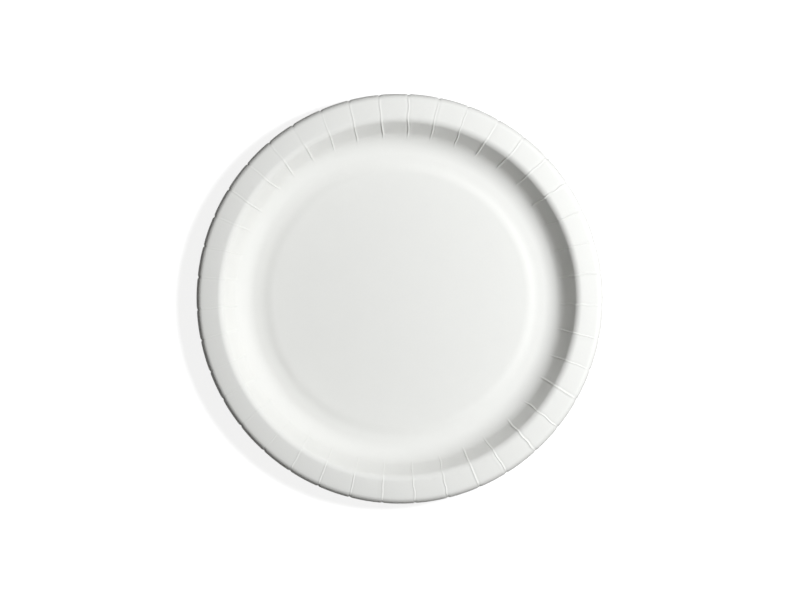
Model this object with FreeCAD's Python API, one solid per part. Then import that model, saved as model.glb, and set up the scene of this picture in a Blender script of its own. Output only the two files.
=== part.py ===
import FreeCAD, Part
import math
import os

# Paper plate: one round blank of coated board with score lines near its edge, pressed to shape.
# The score lines close up into narrow pleats that run over the rim and down the wall.
# Millimetres. The plate rests on z = 0, its axis is the Z axis, and it is open upwards.

# Overall sizes
plate_diameter = 228.6
plate_height = 19.0
board_thickness = 0.45

# Wall and rim together, from the ring that the plate rests on to the cut edge, seen from above
border_width = 34.6

# Well: a flat middle that stands a little above the resting ring
resting_ring_width = 2.6
middle_rise = 0.6
middle_slope_width = 7.5

# Wall, and the turns at its foot and head, as radii of the middle of the board
wall_degrees = 61.0
wall_foot_radius = 14.2
wall_foot_steps = 5
wall_head_radius = 4.8
wall_head_steps = 4

# Rim: it falls gently outwards and ends in a short lip that is turned down
rim_fall_degrees = 8.0
lip_degrees = 64.0
lip_turn_radius = 2.2
lip_turn_steps = 1
lip_straight = 0.9

# Pleats: the score lines spread from a point a little off the axis of the plate
pleat_count = 40
pleat_first_degrees = 7.5
score_offset = 4.8
score_offset_degrees = 117.0
pleat_lift = 0.16
pleat_foot_steps = 3

ORIGIN = FreeCAD.Vector(0, 0, 0)
AXIS = FreeCAD.Vector(0, 0, 1)


class Station:
    """A place on the section: radius, height, heading in degrees and length along the board."""

    def __init__(self, radius, height, heading, along):
        self.radius = radius
        self.height = height
        self.heading = heading
        self.along = along

    def offset(self, distance):
        """The point that lies this far above the middle of the board."""
        turn = math.radians(self.heading)
        return FreeCAD.Vector(
            self.radius - distance * math.sin(turn), 0, self.height + distance * math.cos(turn)
        )


def straight_on(station, length):
    """The station at the end of a straight run."""
    turn = math.radians(station.heading)
    return Station(
        station.radius + length * math.cos(turn),
        station.height + length * math.sin(turn),
        station.heading,
        station.along + length,
    )


def turn_to(station, heading, radius):
    """The station at the end of a turn to a new heading, upwards or downwards."""
    side = 1 if heading > station.heading else -1
    start = math.radians(station.heading)
    end = math.radians(heading)
    return Station(
        station.radius + side * radius * (math.sin(end) - math.sin(start)),
        station.height + side * radius * (math.cos(start) - math.cos(end)),
        heading,
        station.along + radius * abs(end - start),
    )


def steps_to(station, heading, radius, steps):
    """The stations along a turn, evenly spaced. The board runs straight from one to the next."""
    change = heading - station.heading
    return [
        turn_to(station, station.heading + change * step / steps, radius)
        for step in range(1, steps + 1)
    ]


# Sizes that follow from the driving ones
half_board = board_thickness / 2
plate_radius = plate_diameter / 2
well_radius = plate_radius - border_width
wall_slope = math.radians(wall_degrees)
rim_slope = math.radians(rim_fall_degrees)
lip_slope = math.radians(lip_degrees)
turns_rise = (wall_foot_radius + wall_head_radius) * (1 - math.cos(wall_slope))
wall_length = (plate_height - board_thickness - turns_rise) / math.sin(wall_slope)
lip_run = lip_turn_radius * (math.sin(lip_slope) - math.sin(rim_slope))
lip_run += lip_straight * math.cos(lip_slope) + half_board * math.sin(lip_slope)

# The section, station by station, along the middle of the board
ring_outer = Station(well_radius, half_board, 0, well_radius)
foot_turn = steps_to(ring_outer, wall_degrees, wall_foot_radius, wall_foot_steps)
wall_foot = foot_turn[-1]
wall_head = straight_on(wall_foot, wall_length)
head_turn = steps_to(wall_head, -rim_fall_degrees, wall_head_radius, wall_head_steps)
rim_inner = head_turn[-1]
rim_run = plate_radius - lip_run - rim_inner.radius
rim_outer = straight_on(rim_inner, rim_run / math.cos(rim_slope))
lip_turn = steps_to(rim_outer, -lip_degrees, lip_turn_radius, lip_turn_steps)
cut_edge = straight_on(lip_turn[-1], lip_straight)
outer_stations = [wall_head] + head_turn + [rim_outer] + lip_turn + [cut_edge]


def well_outline():
    """Half the section of the well, out to where the pleats begin on the turn at its edge."""
    ring_inner_radius = well_radius - resting_ring_width
    middle_radius = ring_inner_radius - middle_slope_width
    upper = []
    lower = []
    for face, side in ((upper, half_board), (lower, -half_board)):
        height = half_board + side
        face.append(FreeCAD.Vector(0, 0, height + middle_rise))
        face.append(FreeCAD.Vector(middle_radius, 0, height + middle_rise))
        face.append(FreeCAD.Vector(ring_inner_radius, 0, height))
        face.append(ring_outer.offset(side))
        face += [station.offset(side) for station in foot_turn[:pleat_foot_steps]]
    return upper + lower[::-1]


def rim_outline(lift):
    """The section of the board from the start of the pleats to the cut edge.

    A pleat is the same section, lifted off its place everywhere but at its foot.
    """
    foot = foot_turn[pleat_foot_steps - 1 :]
    upper = []
    lower = []
    for face, side in ((upper, half_board), (lower, -half_board)):
        for step, station in enumerate(foot):
            face.append(station.offset(side + lift * step / (len(foot) - 1)))
        face += [station.offset(side + lift) for station in outer_stations]
    return upper + lower[::-1]


def closed_face(points):
    return Part.Face(Part.makePolygon(points + points[:1]))


def turned(outline, start_degrees, sweep_degrees):
    """The round piece that an outline sweeps about the axis of the plate."""
    face = closed_face(outline)
    face.rotate(ORIGIN, AXIS, start_degrees)
    return face.revolve(ORIGIN, AXIS, sweep_degrees)


def straight_across(outline, start_degrees, sweep_degrees):
    """The narrow piece between two directions, flat from one to the other."""
    sides = []
    for degrees in (start_degrees, start_degrees + sweep_degrees):
        turn = FreeCAD.Rotation(AXIS, degrees)
        sides.append([turn.multVec(point) for point in outline])
    near, far = sides
    faces = [closed_face(near), closed_face(far)]
    for corner in range(len(outline)):
        faces.append(closed_face([near[corner - 1], near[corner], far[corner], far[corner - 1]]))
    piece = Part.Solid(Part.Shell(faces))
    piece.fix(0, 0, 0)
    return piece


def pleat_direction(number):
    """Where a score line crosses the middle of the rim, in degrees about the axis."""
    direction = math.radians(pleat_first_degrees + 360 * number / pleat_count)
    lean = math.radians(score_offset_degrees)
    rim_middle = (rim_inner.radius + rim_outer.radius) / 2
    return math.degrees(direction + score_offset / rim_middle * math.sin(lean - direction))


def pleated_plate():
    """The well, and round it the panels of the wall and rim with a pleat between each two."""
    # The blank's edge is longer than the plate's, and the pleats take up the difference
    pleat_degrees = 180 * (cut_edge.along - cut_edge.radius) / pleat_count / cut_edge.radius
    panel_outline = rim_outline(0)
    pleat_outline = rim_outline(pleat_lift)
    pieces = []
    for number in range(pleat_count):
        pleat_start = pleat_direction(number) - pleat_degrees / 2
        panel_start = pleat_start + pleat_degrees
        panel_end = pleat_direction(number + 1) - pleat_degrees / 2
        pieces.append(straight_across(pleat_outline, pleat_start, pleat_degrees))
        pieces.append(turned(panel_outline, panel_start, panel_end - panel_start))
    return turned(well_outline(), 0, 360).fuse(pieces)


os.makedirs("parts", exist_ok=True)
plate = pleated_plate()
if len(plate.Solids) != 1 or not plate.isValid():
    raise ValueError("the plate is not one sound solid")
plate.Solids[0].exportStep("parts/plate.step")
print("blank radius", round(cut_edge.along, 2))
print("volume", round(plate.Volume, 1), "faces", len(plate.Faces))
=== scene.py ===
import math

import bpy
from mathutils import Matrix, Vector


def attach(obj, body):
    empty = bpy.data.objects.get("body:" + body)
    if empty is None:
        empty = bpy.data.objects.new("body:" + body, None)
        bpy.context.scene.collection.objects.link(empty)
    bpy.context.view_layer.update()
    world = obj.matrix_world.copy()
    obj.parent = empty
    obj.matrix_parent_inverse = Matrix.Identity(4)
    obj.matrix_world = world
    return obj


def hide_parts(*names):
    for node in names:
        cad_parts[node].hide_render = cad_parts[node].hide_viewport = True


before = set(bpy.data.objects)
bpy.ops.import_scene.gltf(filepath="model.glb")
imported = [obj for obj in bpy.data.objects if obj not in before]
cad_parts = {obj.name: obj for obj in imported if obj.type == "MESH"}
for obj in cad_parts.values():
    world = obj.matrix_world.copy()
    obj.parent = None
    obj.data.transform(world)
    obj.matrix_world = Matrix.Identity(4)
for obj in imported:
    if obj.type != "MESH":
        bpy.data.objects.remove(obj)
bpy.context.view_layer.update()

bl_info = {
    "name": "Paper plate",
    "version": (1, 0, 0),
    "blender": (4, 5, 0),
    "location": "3D View > Sidebar > Paper plate",
    "description": "Makes a pressed paper plate with a pleated rim, and a pale stage for it",
    "category": "Object",
}

MM = 0.001
PLATE_NODE = "plate"
PLATE_BODY = "root"

# The picture's size in pixels, for the camera's framing
PHOTO_WIDTH = 800
PHOTO_HEIGHT = 600

# The cut edge is rounded by this radius
EDGE_ROUND = 0.06 * MM

# The underside needs fewer stations than the face that is looked at
UNDERSIDE_DETAIL = 0.72

# Share of the columns' spread that is kept beside a pleat, where the mesh is finest
CROWDING = 0.11

# Points nearer than this are one point, at the seam and at the two poles
SEAM_GAP = 0.001 * MM

# The floor is a square of this half side, a little below the plate
FLOOR_HALF = 3.0
FLOOR_GAP = 0.2 * MM

# The main lamp is turned towards the axis at this height
LAMP_AIM = 10 * MM

# The paper's relief is this deep at full strength, and its clouds of colour have this fineness
RELIEF_DEPTH = 0.2 * MM
CLOUD_SCALE = 55.0


def length(name, description, default, unit="LENGTH"):
    """A size in metres that a user may change."""
    return bpy.props.FloatProperty(
        name=name, description=description, default=default, unit=unit, precision=5
    )


def number(name, description, default):
    """A plain number that a user may change."""
    return bpy.props.FloatProperty(name=name, description=description, default=default)


def whole(name, description, default):
    """A whole number that a user may change."""
    return bpy.props.IntProperty(name=name, description=description, default=default, min=0)


def turn(name, description, degrees):
    """An angle that a user may change, given here in degrees."""
    return bpy.props.FloatProperty(
        name=name, description=description, default=math.radians(degrees), subtype="ANGLE"
    )


def colour(name, description, default):
    """A colour that a user may change."""
    return bpy.props.FloatVectorProperty(
        name=name, description=description, default=default, subtype="COLOR", size=3, min=0, max=1
    )


class PlateSection(bpy.types.PropertyGroup):
    """Sizes of the plate's section."""

    radius: length("Radius", "From the axis to the cut edge", 114.3 * MM)
    height: length("Height", "From the table to the top of the rim", 19.0 * MM)
    board: length("Board", "Thickness of the board", 0.45 * MM)
    well_radius: length("Well radius", "Outer radius of the ring that the plate rests on", 81.5 * MM)
    ring_width: length("Ring width", "Width of the resting ring", 2.8 * MM)
    middle_rise: length("Middle rise", "How far the middle stands above the ring", 0.98 * MM)
    slope_width: length("Slope width", "Width of the slope round the middle", 8.6 * MM)
    foot_radius: length("Foot turn", "Radius of the turn at the wall's foot", 13.6 * MM)
    head_radius: length("Head turn", "Radius of the turn at the wall's head", 4.3 * MM)
    wall_angle: turn("Wall angle", "Slope of the wall", 62)
    rim_start: turn("Rim start", "How steeply the rim falls at its inner edge", 0.3)
    rim_fall: turn("Rim fall", "How steeply the rim falls at its outer edge", 3.6)
    lip_angle: turn("Lip angle", "How steeply the lip is turned down", 70)
    lip_radius: length("Lip turn", "Radius of the turn into the lip", 2.8 * MM)
    lip_straight: length("Lip width", "Straight width of the lip", 1.8 * MM)


class PlatePleats(bpy.types.PropertyGroup):
    """Numbers and sizes of the pleats."""

    count: whole("Pleats", "How many score lines the blank has", 40)
    columns: whole("Columns", "Strips of mesh from one pleat to the next", 20)
    first: turn("First pleat", "Direction of the first score line", 5.0)
    offset: length("Score offset", "How far the score lines' centre is off the axis", 4.8 * MM)
    offset_way: turn("Offset direction", "Which way that centre lies", 117)
    foot_angle: turn("Foot angle", "Slope of the board where the pleats begin", 36)
    full_angle: turn("Full angle", "Slope of the board where the pleats have their full height", 54)
    lift: length("Lift", "How far a fold's edge stands proud on the rim", 0.13 * MM)
    wall_lift: length("Wall lift", "How much prouder a fold stands on the wall", 0.18 * MM)
    width: length("Fold width", "Half width of a fold's crest", 0.5 * MM)
    crease: length("Crease", "Depth of the crease beside a fold", 0.09 * MM)
    pillow: length("Pillow", "How far a panel swells between two pleats", 0.05 * MM)
    wander: length("Wander", "How far a pleat strays from its score line", 0.4 * MM)
    curl: length("Curl", "How far a pleat's lower end strays", 1.3 * MM)
    weak_side: turn("Weak side", "Direction in which the brim's pleats are flattest", 160)
    notch: length("Notch", "How far the cut edge draws in at a pleat", 0.5 * MM)
    warp: length("Warp", "How far the rim is out of flat", 0.22 * MM)
    oval: number("Oval", "Width of the plate's edge as a share of its length", 0.9915)
    seed: whole("Seed", "Sets the unevenness of the pleats", 7)


class PlatePaper(bpy.types.PropertyGroup):
    """Colours and textures of the board."""

    coated: colour("Coated face", "The clay-coated upper face", (0.785, 0.783, 0.762))
    bare: colour("Bare face", "The uncoated underside", (0.80, 0.79, 0.745))
    cut: colour("Cut edge", "The raw cut edge", (0.66, 0.645, 0.60))
    gloss: number("Roughness", "Roughness of the coated face", 0.62)
    grain: number("Grain", "Strength of the paper's fine relief", 0.10)


class PlateStage(bpy.types.PropertyGroup):
    """Camera, lamp, soft sky and floor."""

    distance: length("Camera distance", "From the camera to the rim", 2.6)
    view_width: length("View width", "Width of the picture at the rim's height", 0.4456)
    centre_x: number("Centre x", "Pixel column of the plate's axis in the photograph", 399.7)
    centre_y: number("Centre y", "Pixel row of the plate's axis in the photograph", 298.7)
    key_way: turn("Lamp direction", "Direction of the main lamp about the axis", 15)
    key_height: turn("Lamp height", "How high the main lamp stands above the table", 56)
    key_distance: length("Lamp distance", "From the plate to the main lamp", 0.9)
    key_size: length("Lamp size", "Side of the main lamp", 0.2)
    key_power: number("Lamp power", "Power of the main lamp in watts", 9.2)
    key_tint: colour("Lamp colour", "Colour of the main lamp", (0.975, 0.99, 1.0))
    sky: number("Sky", "Strength of the soft light from all round", 0.064)
    sky_tint: colour("Sky colour", "Colour of the soft light", (1.0, 0.96, 0.83))
    sky_way: number("Sky balance", "How much more of it comes from the main lamp's side, from 0 to 1", 1.0)
    floor: colour("Floor", "Colour of the floor", (0.42, 0.42, 0.42))
    floor_lift: number("Floor lift", "How much brighter than its colour the camera sees the floor", 0.86)


class Wire:
    """A node's output, which can stand in a sum so that a formula reads as it is written."""

    def __init__(self, web, socket):
        self.web = web
        self.socket = socket

    def of(self, operation, *others):
        """The result of a node that reckons with this output first."""
        values = {0: self}
        values.update({place + 1: other for place, other in enumerate(others)})
        return self.web.add("ShaderNodeMath", values, operation=operation)

    def swapped(self, operation, other):
        """The result of a node that reckons with this output last."""
        return self.web.add("ShaderNodeMath", {0: other, 1: self}, operation=operation)

    def __add__(self, other):
        return self.of("ADD", other)

    def __radd__(self, other):
        return self.of("ADD", other)

    def __sub__(self, other):
        return self.of("SUBTRACT", other)

    def __rsub__(self, other):
        return self.swapped("SUBTRACT", other)

    def __mul__(self, other):
        return self.of("MULTIPLY", other)

    def __rmul__(self, other):
        return self.of("MULTIPLY", other)

    def __truediv__(self, other):
        return self.of("DIVIDE", other)

    def __rtruediv__(self, other):
        return self.swapped("DIVIDE", other)

    def __pow__(self, other):
        return self.of("POWER", other)

    def __neg__(self):
        return self.of("MULTIPLY", -1.0)

    def __abs__(self):
        return self.of("ABSOLUTE")


class Web:
    """Adds and joins the nodes of one tree."""

    def __init__(self, tree):
        self.tree = tree

    def node(self, kind, values=None, **settings):
        """A new node: its settings first, then the values or links of its inputs."""
        node = self.tree.nodes.new(kind)
        for name, value in settings.items():
            setattr(node, name, value)
        for name, value in (values or {}).items():
            if isinstance(value, Wire):
                self.tree.links.new(value.socket, node.inputs[name])
            else:
                node.inputs[name].default_value = value
        return node

    def add(self, kind, values=None, output=0, **settings):
        """One output of a new node."""
        node = self.node(kind, values, **settings)
        return Wire(self, node.outputs[output])

    def out(self, node, name):
        """A named output of a node."""
        return Wire(self, node.outputs[name])


# The section of the plate


class Station:
    """A place on the section's middle line: radius, height and heading."""

    def __init__(self, radius, height, heading):
        self.radius = radius
        self.height = height
        self.heading = heading

    def onwards(self, run):
        """The station after a straight run."""
        return Station(
            self.radius + run * math.cos(self.heading),
            self.height + run * math.sin(self.heading),
            self.heading,
        )

    def turned(self, heading, radius):
        """The station after a turn of this radius to a new heading."""
        side = 1 if heading > self.heading else -1
        return Station(
            self.radius + side * radius * (math.sin(heading) - math.sin(self.heading)),
            self.height + side * radius * (math.cos(self.heading) - math.cos(heading)),
            heading,
        )


class SectionLine:
    """The middle line of the board, drawn from the axis outwards as straight runs and turns."""

    def __init__(self, start):
        self.stations = [start]

    def end(self):
        """The last station so far."""
        return self.stations[-1]

    def run(self, distance, parts):
        """Draw a straight run in equal parts."""
        start = self.end()
        self.stations += [start.onwards(distance * part / parts) for part in range(1, parts + 1)]

    def turn(self, heading, radius, parts):
        """Draw a turn in equal parts."""
        start = self.end()
        change = heading - start.heading
        self.stations += [
            start.turned(start.heading + change * part / parts, radius) for part in range(1, parts + 1)
        ]


def middle_line(size, detail):
    """The stations of the plate's section. Detail scales how many there are."""

    def parts(count):
        return max(1, round(count * detail))

    slope = 2 * size.middle_rise / size.slope_width
    slope_angle = math.atan(slope)
    inner = size.well_radius - size.ring_width - size.slope_width
    slope_turn = size.slope_width / 2 / math.sin(slope_angle)
    line = SectionLine(Station(0, size.board / 2 + size.middle_rise, 0))
    line.run(inner, 6)
    line.turn(-slope_angle, slope_turn, parts(4))
    line.turn(0, slope_turn, parts(4))
    line.end().height = size.board / 2
    line.run(size.ring_width, 1)
    line.turn(size.wall_angle, size.foot_radius, parts(17))
    head_rise = size.head_radius * (1 - math.cos(size.wall_angle))
    wall_rise = size.height - size.board / 2 - head_rise - line.end().height
    line.run(wall_rise / math.sin(size.wall_angle), parts(5))
    line.turn(-size.rim_start, size.head_radius, parts(14))
    lip_run = size.lip_radius * (math.sin(size.lip_angle) - math.sin(size.rim_fall))
    lip_run += size.lip_straight * math.cos(size.lip_angle)
    lip_run += size.board / 2 * math.sin(size.lip_angle)
    rim_run = size.radius - lip_run - line.end().radius
    rim_bend = rim_run / (math.sin(size.rim_fall) - math.sin(size.rim_start))
    line.turn(-size.rim_fall, rim_bend, parts(6))
    line.turn(-size.lip_angle, size.lip_radius, parts(8))
    line.run(size.lip_straight, parts(2))
    return line.stations


def foot_end(size):
    """Radius at which the turn at the wall's foot ends."""
    return size.well_radius + size.foot_radius * math.sin(size.wall_angle)


def smooth_step(value):
    """From 0 to 1 with a soft start and end."""
    value = min(max(value, 0.0), 1.0)
    return value * value * (3 - 2 * value)


def section_guide(size, pleats):
    """The half section as a line of points, from the axis over the top and back below.

    Each point carries the direction off the board and how strongly the pleats show there. The row
    where the coated face ends and the row where the bare face begins are given too.
    """
    rows = []
    top = middle_line(size, 1.0)
    below = middle_line(size, UNDERSIDE_DETAIL)

    def row(station, off_middle, along=0.0):
        """Add the point that lies this far off the board's middle line and this far along it."""
        normal = (-math.sin(station.heading), math.cos(station.heading))
        forward = (math.cos(station.heading), math.sin(station.heading))
        radius = station.radius + normal[0] * off_middle + forward[0] * along
        height = station.height + normal[1] * off_middle + forward[1] * along
        rise = (station.heading - pleats.foot_angle) / (pleats.full_angle - pleats.foot_angle)
        past_foot = station.radius > foot_end(size)
        strength = 1.0 if past_foot else smooth_step(rise)
        rows.append((max(radius, 0.0), height, normal, strength))

    half = size.board / 2
    for station in top:
        row(station, half)
    last_top = len(rows) - 1

    # The cut edge, rounded and bulging a little in its middle
    cut_edge = top[-1]
    row(cut_edge, half - EDGE_ROUND, EDGE_ROUND)
    row(cut_edge, 0.0, EDGE_ROUND * 1.3)
    row(cut_edge, EDGE_ROUND - half, EDGE_ROUND)

    first_below = len(rows)
    for station in reversed(below):
        row(station, -half)
    return rows, last_top, first_below


def guide_object(rows):
    """The section as a mesh line, with its data as attributes for the geometry nodes."""
    mesh = bpy.data.meshes.new("section_guide")
    points = [(radius, 0, height) for radius, height, normal, strength in rows]
    mesh.from_pydata(points, [(row, row + 1) for row in range(len(rows) - 1)], [])
    mesh.attributes.new("off_board", "FLOAT_VECTOR", "POINT")
    mesh.attributes.new("pleat_strength", "FLOAT", "POINT")
    off = mesh.attributes["off_board"]
    shows = mesh.attributes["pleat_strength"]
    for index, (radius, height, normal, strength) in enumerate(rows):
        off.data[index].vector = (normal[0], 0, normal[1])
        shows.data[index].value = strength
    guide = bpy.data.objects.new("section_guide", mesh)
    bpy.context.scene.collection.objects.link(guide)
    return guide


# The geometry nodes that spin the section and press the pleats into it

TREE_INPUTS = [
    ("Rows", "NodeSocketInt"),
    ("Pleats", "NodeSocketInt"),
    ("Columns", "NodeSocketInt"),
    ("First pleat", "NodeSocketFloat"),
    ("Score offset", "NodeSocketFloat"),
    ("Offset direction", "NodeSocketFloat"),
    ("Foot radius", "NodeSocketFloat"),
    ("Edge radius", "NodeSocketFloat"),
    ("Lift", "NodeSocketFloat"),
    ("Wall lift", "NodeSocketFloat"),
    ("Fold width", "NodeSocketFloat"),
    ("Crease", "NodeSocketFloat"),
    ("Pillow", "NodeSocketFloat"),
    ("Wander", "NodeSocketFloat"),
    ("Curl", "NodeSocketFloat"),
    ("Weak side", "NodeSocketFloat"),
    ("Notch", "NodeSocketFloat"),
    ("Warp", "NodeSocketFloat"),
    ("Oval", "NodeSocketFloat"),
    ("Seed", "NodeSocketInt"),
    ("Last coated row", "NodeSocketInt"),
    ("First bare row", "NodeSocketInt"),
    ("Coated face", "NodeSocketMaterial"),
    ("Bare face", "NodeSocketMaterial"),
    ("Cut edge", "NodeSocketMaterial"),
]


# Every chance draw has a lane of its own, so that no two draws are alike
LANES = {
    "curl": 1,
    "sway start": 2,
    "stray": 3,
    "width": 4,
    "leaning side": 5,
    "lift": 6,
    "crease": 7,
    "pillow": 8,
    "wall ridge": 9,
    "second ridge": 10,
    "groove": 11,
    "sway length": 12,
    "sway": 13,
    "gentle side": 14,
}

# Place and reach of each part of a fold, counted across it in half widths of its crest
CREASE = (1.4, 0.6)
GROOVE = (-1.3, 0.7)
SECOND_RIDGE = (-2.6, 0.8)

# Reach of a fold's crest on its sharp side, in the same measure
SHARP_REACH = 0.6

# Place and reach of the ridge on the wall, from the pleat's foot at 0 to the cut edge at 1
WALL_RIDGE = (0.22, 0.2)

# Where the brim takes over from the wall, and over what share of the pleat, in the same measure
BRIM_START = 0.38
BRIM_BLEND = 0.17

# The wall's pleats are flattest this far round from the side where the brim's are
WALL_SIDE_TURN = 1.1


def bump(value, centre, reach):
    """A smooth hill of height 1 over the centre."""
    return (((value - centre) / reach) ** 2.0 * -1.0).of("EXPONENT")


class PleatRule:
    """Where the pleats run and how they stand off the board, as nodes of the plate's tree.

    A place along a pleat is called up: it is 0 at the pleat's foot and 1 at the cut edge.
    """

    def __init__(self, web, inputs):
        self.web = web
        self.inputs = inputs

    def chance(self, pleat, lane, low, high):
        """A number that is fixed for each pleat, and different in each lane."""
        around = pleat.of("FLOORED_MODULO", self.inputs["Pleats"])
        return self.web.add(
            "FunctionNodeRandomValue",
            {2: low, 3: high, "ID": around, "Seed": self.inputs["Seed"] + LANES[lane]},
            output=1,
            data_type="FLOAT",
        )

    def direction(self, pleat, radius, up):
        """The direction of a pleat about the axis, at this radius."""
        inputs = self.inputs
        scored = inputs["First pleat"] + pleat * (2 * math.pi / inputs["Pleats"])
        lean = (inputs["Offset direction"] - scored).of("SINE") * inputs["Score offset"]
        curl = (1.0 - up) ** 2.0 * self.chance(pleat, "curl", -1.0, 1.0) * inputs["Curl"]
        sway_length = self.chance(pleat, "sway length", 7.0, 26.0)
        sway_start = self.chance(pleat, "sway start", 0.0, 6.28)
        sway = (up * sway_length + sway_start).of("SINE")
        sway = sway * inputs["Wander"] * self.chance(pleat, "sway", 0.1, 0.8)
        stray = self.chance(pleat, "stray", -1.0, 1.0) * inputs["Wander"] * 1.8
        return scored + (lean + curl + sway + stray) / radius

    def fold_width(self, pleat, up):
        """Half width of the fold's crest, a little less at its foot."""
        return self.inputs["Fold width"] * self.chance(pleat, "width", 0.8, 1.25) * (0.85 + 0.15 * up)

    def strength_by_side(self, direction, up):
        """How proud the pleats stand on this side of the plate, on the brim and on the wall."""
        weak_side = self.inputs["Weak side"]
        on_brim = ((up - BRIM_START) / BRIM_BLEND).of("MAXIMUM", 0.0).of("MINIMUM", 1.0)
        brim = 1.1 - (direction - weak_side).of("COSINE") * 0.7
        wall = 0.75 - (direction - weak_side - WALL_SIDE_TURN).of("COSINE") * 0.45
        return brim * on_brim + wall * (1.0 - on_brim)

    def relief(self, pleat, across, up, direction):
        """How far the fold and the creases beside it stand off the board.

        A fold leans towards one side: it rises more gently from there and drops sharply at its
        edge. On the wall it stands up as a ridge.
        """
        inputs = self.inputs
        towards_edge = across * self.chance(pleat, "leaning side", -0.2, 1.0).of("SIGN")
        past_edge = towards_edge.of("GREATER_THAN", 0.0)
        gentle = self.chance(pleat, "gentle side", 0.8, 1.8)
        reach = gentle - (gentle - SHARP_REACH) * past_edge
        crest = bump(across, 0.0, reach) * inputs["Lift"] * self.chance(pleat, "lift", 0.5, 1.3)
        ridge = bump(across, 0.0, 1.0) * bump(up, *WALL_RIDGE)
        ridge = ridge * inputs["Wall lift"] * self.chance(pleat, "wall ridge", 0.5, 1.2)
        groove = bump(towards_edge, *GROOVE) * self.chance(pleat, "groove", 0.3, 1.3)
        crease = (bump(towards_edge, *CREASE) + groove) * inputs["Crease"]
        crease = crease * self.chance(pleat, "crease", 0.5, 1.4)
        second = self.chance(pleat, "second ridge", -1.2, 0.8).of("MAXIMUM", 0.0)
        second = bump(towards_edge, *SECOND_RIDGE) * inputs["Lift"] * second
        return (crest + ridge - crease + second) * self.strength_by_side(direction, up)

    def pillow(self, pleat, share):
        """How far the panel between two pleats swells."""
        swell = (1.0 - (1.0 - 2.0 * share) ** 2.0) * self.inputs["Pillow"]
        return swell * self.chance(pleat, "pillow", 0.9, 1.1)

    def notch(self, aside, fold_width, outward):
        """How far the cut edge draws in at a pleat."""
        return bump(aside, 0.0, fold_width * 1.2) * self.inputs["Notch"] * outward ** 60.0

    def warp(self, direction, outward):
        """How far the rim stands out of flat."""
        wave = (direction * 2.0 + 0.8).of("COSINE") + (direction * 3.0 + 2.1).of("SINE") * 0.6
        return wave * self.inputs["Warp"] * outward ** 12.0


def row_grid(web, inputs):
    """A flat grid with its row as an attribute, and the column and row of each of its points."""
    columns = inputs["Pleats"] * inputs["Columns"]
    last_row = inputs["Rows"] - 1.0
    grid = web.add(
        "GeometryNodeMeshGrid",
        {"Size X": columns, "Size Y": last_row, "Vertices X": columns + 1.0, "Vertices Y": inputs["Rows"]},
    )
    place = web.node("ShaderNodeSeparateXYZ", {0: web.add("GeometryNodeInputPosition")})
    column = web.out(place, "X") + columns / 2.0
    row = (web.out(place, "Y") + last_row / 2.0).of("ROUND")
    grid = web.add(
        "GeometryNodeStoreNamedAttribute",
        {"Geometry": grid, "Name": "row", "Value": row},
        data_type="FLOAT",
        domain="POINT",
    )
    return grid, column, row


def named(web, name, data_type):
    """An attribute of the mesh."""
    return web.add("GeometryNodeInputNamedAttribute", {"Name": name}, data_type=data_type)


def from_section(web, section, row, value, data_type):
    """What the section holds in this row."""
    return web.add(
        "GeometryNodeSampleIndex",
        {"Geometry": section, "Value": value, "Index": row},
        data_type=data_type,
        domain="POINT",
        clamp=True,
    )


def closed_and_coated(web, inputs, geometry):
    """The seam and the two poles closed, the faces looking out, and the materials on by row."""
    merged = web.add("GeometryNodeMergeByDistance", {"Geometry": geometry, "Distance": SEAM_GAP})
    outside = web.add("GeometryNodeFlipFaces", {0: merged})
    smooth = web.add("GeometryNodeSetShadeSmooth", {"Geometry": outside})
    plate = web.add("GeometryNodeRealizeInstances", {"Geometry": smooth})
    row = named(web, "row", "FLOAT")
    plate = web.add("GeometryNodeSetMaterial", {"Geometry": plate, "Material": inputs["Cut edge"]})
    faces = {
        "Coated face": row.of("LESS_THAN", inputs["Last coated row"]),
        "Bare face": row.of("GREATER_THAN", inputs["First bare row"]),
    }
    for name, chosen in faces.items():
        plate = web.add(
            "GeometryNodeSetMaterial",
            {"Geometry": plate, "Selection": chosen, "Material": inputs[name]},
        )
    return plate


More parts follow.
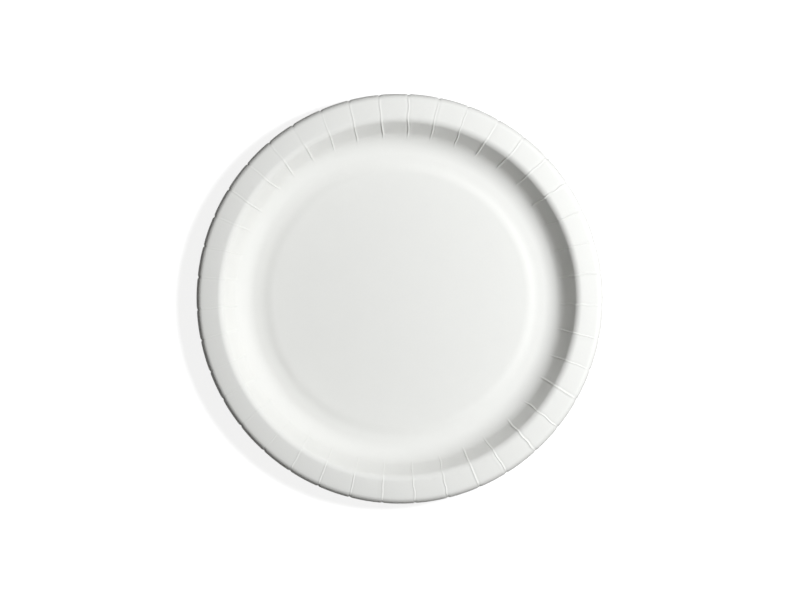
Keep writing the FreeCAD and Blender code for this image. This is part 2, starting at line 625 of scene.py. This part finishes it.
def plate_tree():
    """The tree: a grid of columns and rows, laid on the section and turned about the axis."""
    tree = bpy.data.node_groups.new("pressed_plate", "GeometryNodeTree")
    tree.interface.new_socket("Section", in_out="INPUT", socket_type="NodeSocketGeometry")
    for name, kind in TREE_INPUTS:
        tree.interface.new_socket(name, in_out="INPUT", socket_type=kind)
    tree.interface.new_socket("Plate", in_out="OUTPUT", socket_type="NodeSocketGeometry")
    web = Web(tree)
    given = web.node("NodeGroupInput")
    inputs = {name: web.out(given, name) for name, kind in TREE_INPUTS}
    section = web.out(given, "Section")
    rule = PleatRule(web, inputs)
    grid, column, row = row_grid(web, inputs)

    # The section's point, the way off the board there, and how strongly the pleats show
    point = from_section(web, section, row, web.add("GeometryNodeInputPosition"), "FLOAT_VECTOR")
    point = web.node("ShaderNodeSeparateXYZ", {0: point})
    off_board = from_section(web, section, row, named(web, "off_board", "FLOAT_VECTOR"), "FLOAT_VECTOR")
    off_board = web.node("ShaderNodeSeparateXYZ", {0: off_board})
    strength = from_section(web, section, row, named(web, "pleat_strength", "FLOAT"), "FLOAT")
    radius = web.out(point, "X")
    height = web.out(point, "Z")

    # The nearest pleat, and how far the column lies towards the next one
    spread = column / inputs["Columns"]
    pleat = (spread + 0.5).of("FLOOR")
    side = spread - pleat
    share = abs(side * CROWDING + side ** 3.0 * (4.0 * (1.0 - CROWDING)))
    neighbour = pleat + side.of("SIGN")
    pleat_radius = radius.of("MAXIMUM", inputs["Foot radius"])
    up = (pleat_radius - inputs["Foot radius"]) / (inputs["Edge radius"] - inputs["Foot radius"])
    here = rule.direction(pleat, pleat_radius, up)
    there = rule.direction(neighbour, pleat_radius, up)
    direction = here + share * (there - here)

    # The pleats stand off the board, the cut edge draws in at each, and the rim is out of flat
    aside = (direction - here) * pleat_radius
    fold_width = rule.fold_width(pleat, up)
    outward = radius / inputs["Edge radius"]
    off = rule.relief(pleat, aside / fold_width, up, direction) + rule.pillow(pleat, share)
    off = off * strength
    out_radius = radius + web.out(off_board, "X") * off - rule.notch(aside, fold_width, outward)
    out_height = height + web.out(off_board, "Z") * off + rule.warp(direction, outward)
    narrower = 1.0 - (1.0 - inputs["Oval"]) * outward ** 7.0
    pressed = web.add(
        "ShaderNodeCombineXYZ",
        {
            "X": out_radius * direction.of("COSINE") * narrower,
            "Y": out_radius * direction.of("SINE"),
            "Z": out_height,
        },
    )
    turned = web.add("GeometryNodeSetPosition", {"Geometry": grid, "Position": pressed})
    web.node("NodeGroupOutput", {"Plate": closed_and_coated(web, inputs, turned)})
    return tree


# Paper


def paper_material(name, base, roughness, mottle, grain, scale):
    """Board with a faint cloudiness of colour and a fine relief."""
    material = bpy.data.materials.new(name)
    material.use_nodes = True
    material.node_tree.nodes.clear()
    web = Web(material.node_tree)
    where = web.add("ShaderNodeTexCoord", output="Object")
    clouds = web.add(
        "ShaderNodeTexNoise", {"Vector": where, "Scale": CLOUD_SCALE, "Detail": 4.0, "Roughness": 0.6}
    )
    fibres = web.add(
        "ShaderNodeTexNoise", {"Vector": where, "Scale": scale, "Detail": 3.0, "Roughness": 0.65}
    )
    level = 1.0 + (clouds - 0.5) * mottle + (fibres - 0.5) * mottle
    channels = {channel: level * value for channel, value in zip(("Red", "Green", "Blue"), base)}
    tint = web.add("ShaderNodeCombineColor", channels)
    relief = web.add(
        "ShaderNodeBump",
        {"Strength": grain, "Distance": RELIEF_DEPTH, "Height": fibres + clouds * 0.5},
    )
    shader = web.add(
        "ShaderNodeBsdfPrincipled",
        {
            "Base Color": tint,
            "Roughness": roughness + (fibres - 0.5) * 0.12,
            "Normal": relief,
            "Specular IOR Level": 0.25,
        },
    )
    web.node("ShaderNodeOutputMaterial", {"Surface": shader})
    return material


def board_materials(paper):
    """The materials of the board's two faces and its cut edge, by the names of the tree's inputs."""
    return {
        "Coated face": paper_material(
            "coated_face", paper.coated, roughness=paper.gloss, mottle=0.03, grain=paper.grain, scale=900
        ),
        "Bare face": paper_material(
            "bare_face", paper.bare, roughness=0.82, mottle=0.06, grain=paper.grain * 2, scale=700
        ),
        "Cut edge": paper_material(
            "cut_edge", paper.cut, roughness=0.9, mottle=0.12, grain=paper.grain * 3, scale=1500
        ),
    }


def seen_directly(web):
    """1 for a ray from the camera, a mirror or glass, and 0 for the light that reaches the plate."""
    light_path = web.node("ShaderNodeLightPath")
    seen = web.out(light_path, "Is Camera Ray") + web.out(light_path, "Is Glossy Ray")
    return (seen + web.out(light_path, "Is Transmission Ray")).of("MINIMUM", 1.0)


def floor_material(base, lift):
    """A plain floor, which the camera sees lifted to white outside the plate's shadow.

    It is clear from beneath, so that the plate's underside can be looked at.
    """
    material = bpy.data.materials.new("stage_floor")
    material.use_nodes = True
    material.node_tree.nodes.clear()
    web = Web(material.node_tree)
    matt = web.add("ShaderNodeBsdfDiffuse", {"Color": (*base, 1)})
    glow = web.add("ShaderNodeEmission", {"Color": (1, 1, 1, 1), "Strength": seen_directly(web) * lift})
    both = web.add("ShaderNodeAddShader", {0: matt, 1: glow})
    beneath = web.out(web.node("ShaderNodeNewGeometry"), "Backfacing")
    clear = web.add("ShaderNodeBsdfTransparent")
    surface = web.add("ShaderNodeMixShader", {0: beneath, 1: both, 2: clear})
    web.node("ShaderNodeOutputMaterial", {"Surface": surface})
    return material


# Operators


def tree_values(size, pleats, rows, last_top, first_below):
    """The numbers for the plate's tree, by the names of its inputs."""
    rest = size.foot_radius * (math.sin(size.wall_angle) - math.sin(pleats.foot_angle))
    return {
        "Rows": len(rows),
        "Pleats": pleats.count,
        "Columns": pleats.columns,
        "First pleat": pleats.first,
        "Score offset": pleats.offset,
        "Offset direction": pleats.offset_way,
        "Foot radius": foot_end(size) - rest,
        "Edge radius": size.radius,
        "Lift": pleats.lift,
        "Wall lift": pleats.wall_lift,
        "Fold width": pleats.width,
        "Crease": pleats.crease,
        "Pillow": pleats.pillow,
        "Wander": pleats.wander,
        "Curl": pleats.curl,
        "Weak side": pleats.weak_side,
        "Notch": pleats.notch,
        "Warp": pleats.warp,
        "Oval": pleats.oval,
        "Seed": pleats.seed,
        "Last coated row": last_top,
        "First bare row": first_below,
    }


def fill_inputs(modifier, values):
    """Give the modifier's tree these values, by the names of its inputs."""
    sockets = {
        item.name: item.identifier
        for item in modifier.node_group.interface.items_tree
        if item.item_type == "SOCKET" and item.in_out == "INPUT"
    }
    for name, value in values.items():
        modifier[sockets[name]] = value


def mesh_from_nodes(context, guide):
    """The mesh that the guide's nodes make. The guide itself is no longer needed and goes."""
    context.view_layer.update()
    held = guide.evaluated_get(context.evaluated_depsgraph_get())
    mesh = bpy.data.meshes.new_from_object(held)
    guide.modifiers.clear()
    bpy.data.objects.remove(guide)
    if not mesh.polygons:
        raise RuntimeError("the plate's nodes made no faces")
    if mesh.materials[0] is None:
        mesh.materials.pop(index=0)
    return mesh


class OBJECT_OT_pressed_plate(bpy.types.Operator):
    """Make the pressed paper plate with its pleated rim"""

    bl_idname = "object.pressed_plate"
    bl_label = "Pressed plate"

    def execute(self, context):
        size = context.scene.plate_section
        pleats = context.scene.plate_pleats
        rows, last_top, first_below = section_guide(size, pleats)
        guide = guide_object(rows)
        modifier = guide.modifiers.new("pressed_plate", "NODES")
        modifier.node_group = plate_tree()
        fill_inputs(modifier, tree_values(size, pleats, rows, last_top, first_below))
        fill_inputs(modifier, board_materials(context.scene.plate_paper))
        mesh = mesh_from_nodes(context, guide)
        mesh.name = "pressed_plate"
        plate = bpy.data.objects.new("pressed_plate", mesh)
        context.scene.collection.objects.link(plate)
        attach(plate, PLATE_BODY)
        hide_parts(PLATE_NODE)
        return {"FINISHED"}


def stage_camera(scene, choice):
    """The camera straight above the plate. It looks down, with the plate where the photo has it."""
    data = bpy.data.cameras.new("camera")
    data.lens = data.sensor_width * choice.distance / choice.view_width
    data.clip_start = 0.01
    data.clip_end = 20
    camera = bpy.data.objects.new("camera", data)
    scene.collection.objects.link(camera)
    pixel = choice.view_width / PHOTO_WIDTH
    across = (PHOTO_WIDTH / 2 - choice.centre_x) * pixel
    along = (choice.centre_y - PHOTO_HEIGHT / 2) * pixel
    camera.location = (across, along, scene.plate_section.height + choice.distance)
    return camera


def key_lamp(scene, choice):
    """The main lamp, a square one that looks at the plate."""
    data = bpy.data.lights.new("key_lamp", "AREA")
    data.color = choice.key_tint
    data.shape = "SQUARE"
    data.size = choice.key_size
    data.energy = choice.key_power
    light = bpy.data.objects.new("key_lamp", data)
    scene.collection.objects.link(light)
    way = choice.key_way
    level = math.cos(choice.key_height)
    out = Vector((math.cos(way) * level, math.sin(way) * level, math.sin(choice.key_height)))
    light.location = Vector((0, 0, LAMP_AIM)) + out * choice.key_distance
    light.rotation_euler = (-out).to_track_quat("-Z", "Y").to_euler()
    return light


def even_sky(choice):
    """Soft light from all round, most of it from the main lamp's side. The camera sees it white."""
    world = bpy.data.worlds.new("even_sky")
    world.use_nodes = True
    world.node_tree.nodes.clear()
    web = Web(world.node_tree)
    way = web.node("ShaderNodeSeparateXYZ", {0: web.add("ShaderNodeTexCoord", output="Generated")})
    toward = web.out(way, "X") * math.cos(choice.key_way) + web.out(way, "Y") * math.sin(choice.key_way)
    level = (toward * choice.sky_way + 1.0) * choice.sky
    seen = seen_directly(web)
    channels = {}
    for channel, tint in zip(("Red", "Green", "Blue"), choice.sky_tint):
        soft = level * tint
        channels[channel] = soft + seen * (1.0 - soft)
    sky = web.add("ShaderNodeBackground", {"Color": web.add("ShaderNodeCombineColor", channels)})
    web.node("ShaderNodeOutputWorld", {"Surface": sky})
    return world


def stage_floor(scene, choice):
    """The floor that the plate lies on."""
    mesh = bpy.data.meshes.new("stage_floor")
    sides = [(-1, -1), (1, -1), (1, 1), (-1, 1)]
    corners = [(x * FLOOR_HALF, y * FLOOR_HALF, -FLOOR_GAP) for x, y in sides]
    mesh.from_pydata(corners, [], [(0, 1, 2, 3)])
    mesh.materials.append(floor_material(choice.floor, choice.floor_lift))
    floor = bpy.data.objects.new("stage_floor", mesh)
    scene.collection.objects.link(floor)
    return floor


class OBJECT_OT_plate_stage(bpy.types.Operator):
    """Make the camera, the lamp, the soft sky and the pale floor"""

    bl_idname = "object.plate_stage"
    bl_label = "Plate stage"

    def execute(self, context):
        scene = context.scene
        choice = scene.plate_stage
        camera = stage_camera(scene, choice)
        scene.camera = camera
        key = key_lamp(scene, choice)
        scene.world = even_sky(choice)
        floor = stage_floor(scene, choice)
        scene.view_settings.view_transform = "Standard"
        return {"FINISHED"}


class VIEW3D_PT_paper_plate(bpy.types.Panel):
    """Sizes of the paper plate and its stage"""

    bl_label = "Paper plate"
    bl_idname = "VIEW3D_PT_paper_plate"
    bl_space_type = "VIEW_3D"
    bl_region_type = "UI"
    bl_category = "Paper plate"

    def draw(self, context):
        layout = self.layout
        for name in GROUPS:
            box = layout.box()
            group = getattr(context.scene, name)
            for field in group.bl_rna.properties:
                if field.identifier not in ("rna_type", "name"):
                    box.prop(group, field.identifier)
        layout.operator("object.pressed_plate")
        layout.operator("object.plate_stage")


GROUPS = {
    "plate_section": PlateSection,
    "plate_pleats": PlatePleats,
    "plate_paper": PlatePaper,
    "plate_stage": PlateStage,
}
CLASSES = [*GROUPS.values(), OBJECT_OT_pressed_plate, OBJECT_OT_plate_stage, VIEW3D_PT_paper_plate]


def register():
    for item in CLASSES:
        bpy.utils.register_class(item)
    for name, kind in GROUPS.items():
        setattr(bpy.types.Scene, name, bpy.props.PointerProperty(type=kind))


def unregister():
    for name in GROUPS:
        delattr(bpy.types.Scene, name)
    for item in reversed(CLASSES):
        bpy.utils.unregister_class(item)


def main():
    register()
    bpy.ops.object.pressed_plate()
    bpy.ops.object.plate_stage()


if __name__ == "__main__":
    main()
